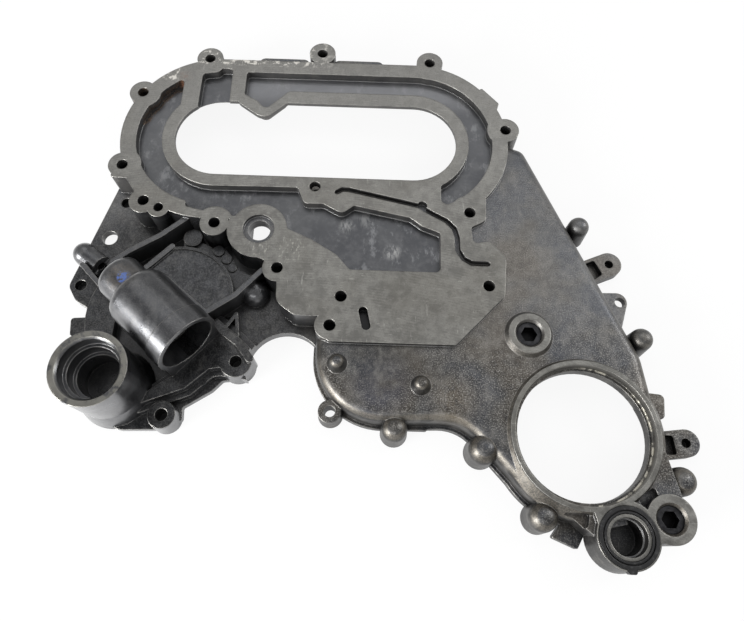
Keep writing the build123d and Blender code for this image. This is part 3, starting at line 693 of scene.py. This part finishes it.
# %% Plug steel
plug_steel = Finish("phosphated_steel", Metallic=0.85)
plug_grain = noise(plug_steel, 0.8, 4.0, 0.7)
plug_cloud = noise(plug_steel, 4.0, 3.0, 0.6)
in_socket = openness(plug_steel, 12.0).under(0.62, 0.5)
plug_colour = coats(
    plug_steel,
    tone(34, 34, 36),
    (plug_cloud.over(0.5, 0.3), tone(58, 58, 60)),
    (in_socket, tone(8, 8, 9)),
)
plug_steel.feed("Base Color", plug_colour)
plug_steel.feed("Roughness", 0.42 + (plug_grain - 0.5) * 0.4)
plug_steel.feed("Normal", relief(plug_steel, plug_grain, 0.04, 0.5, rounded(plug_steel, 0.4)))
for plug in ("upper_hex_plug", "lower_hex_plug"):
    dress(plug, plug_steel)

# %% [markdown]
# The oil port's seal is black rubber, dusty in patches and shiny between them. Rubber is not a metal,
# so its colour is nearly black and a low broad shine does the rest. A dark metal would mirror the
# lamps instead.

# %% Seal rubber
rubber = Finish("black_rubber", Metallic=0.0, IOR=1.5)
dust = noise(rubber, 2.5, 5.0, 0.7)
rubber_colour = coats(rubber, tone(11, 11, 13), (dust.over(0.6, 0.12) * 0.4, tone(66, 66, 66)))
rubber.feed("Base Color", rubber_colour)
rubber.feed("Roughness", 0.42 + (dust - 0.5) * 0.5)
rubber.feed("Normal", relief(rubber, dust, 0.08, 0.5, rounded(rubber, 0.6)))
dress("port_seal", rubber)

# %% [markdown]
# The cover stands over a plain pale sheet, a hair below its gasket face, so that the two never touch.
# The sheet reaches three metres each way. A backdrop that curves up behind would hide its far edge in
# low views, but from the photograph's height one flat sheet is enough.

# %% Floor
middle = Vector((-0.11, 0.09, 0.0))
floor_gap = 0.3
floor_reach = 3.0
floor_mesh = bpy.data.meshes.new("floor")
floor_shape = bmesh.new()
bmesh.ops.create_grid(floor_shape, x_segments=1, y_segments=1, size=floor_reach)
floor_shape.to_mesh(floor_mesh)
floor_shape.free()
floor = bpy.data.objects.new("floor", floor_mesh)
floor.location = (middle.x, middle.y, level(-floor_gap))
bpy.context.scene.collection.objects.link(floor)
print("floor at z =", round(floor.location.z, 4))

# %% [markdown]
# More light would turn a floor white, but it would bleach the cover too. So the sheet glows instead,
# at exactly white, and only for the camera, for what the metal mirrors and for what shows through
# clear things. The share that is left stays a plain matt surface, which takes the cover's shadow.

# %% White of the floor
white = (1.0, 1.0, 1.0, 1.0)
sheet = Finish("pale_sheet", Roughness=0.9, Base_Color=(0.82, 0.82, 0.82, 1.0))
seen = sheet.node("ShaderNodeLightPath", {}, {}, "Is Camera Ray")
mirrored = sheet.node("ShaderNodeLightPath", {}, {}, "Is Glossy Ray")
through = sheet.node("ShaderNodeLightPath", {}, {}, "Is Transmission Ray")
white_share = seen * 0.9 + mirrored * 0.6 + through * 0.9
glow = sheet.node("ShaderNodeEmission", {}, {"Color": white, "Strength": 1.0})
matt = Flow(sheet, sheet.shader.outputs["BSDF"])
both = sheet.node("ShaderNodeMixShader", {}, [white_share, matt, glow])
sheet.give(sheet.tree.nodes["Material Output"].inputs["Surface"], both)
floor_mesh.materials.append(sheet.material)
print("sheet made, nine tenths white to the camera")

# %% [markdown]
# Metal shows what is around it, so a photograph of metal needs large soft lights. The main one stands
# low on the left and draws the bright lines on the tube and the domes. A wide panel high behind gives
# the flat faces their sheen, a small light on the right opens the shadows, and a strip in front lifts
# the near walls. Point lamps would leave small hard spots instead.

# %% Lights
lamps = (
    ("low_left_softbox", (-1.0, -0.55, 0.36), (0.5, 0.35), 18.0),
    ("far_panel", (-0.11, 0.89, 1.50), (2.0, 0.95), 6.0),
    ("right_softbox", (0.8, 0.35, 0.6), (0.4, 0.4), 4.0),
    ("near_strip", (-0.35, -0.95, 0.80), (0.9, 0.25), 3.0),
)


def soft_light(name, place, size, power):
    """A rectangle of light that faces the middle of the cover."""
    data = bpy.data.lights.new(name, "AREA")
    data.shape = "RECTANGLE"
    data.size, data.size_y = size
    data.energy = power
    lamp = bpy.data.objects.new(name, data)
    aim = middle - Vector(place)
    lamp.matrix_world = Matrix.Translation(place) @ aim.to_track_quat("-Z", "Y").to_matrix().to_4x4()
    bpy.context.scene.collection.objects.link(lamp)
    print(name, "gives", power, "W")


for lamp in lamps:
    soft_light(*lamp)

# %% [markdown]
# The world fills what the lights leave dark. The camera sees it as plain white, and the cover gets
# about half of that, so that its dark greys stay dark. A sky with colours of its own would tint the
# metal.

# %% World
ambient = 0.55
world = bpy.data.worlds.new("studio")
world.use_nodes = True
bpy.context.scene.world = world

sky = Shading(world.node_tree)
seen_directly = sky.node("ShaderNodeLightPath", {}, {}, "Is Camera Ray")
background = sky.tree.nodes["Background"]
sky.give(background.inputs["Color"], white)
sky.give(background.inputs["Strength"], ambient + seen_directly * (1.0 - ambient))
bpy.context.scene.view_settings.view_transform = "Standard"
print("world at", ambient, "for the cover and at 1 for the camera")
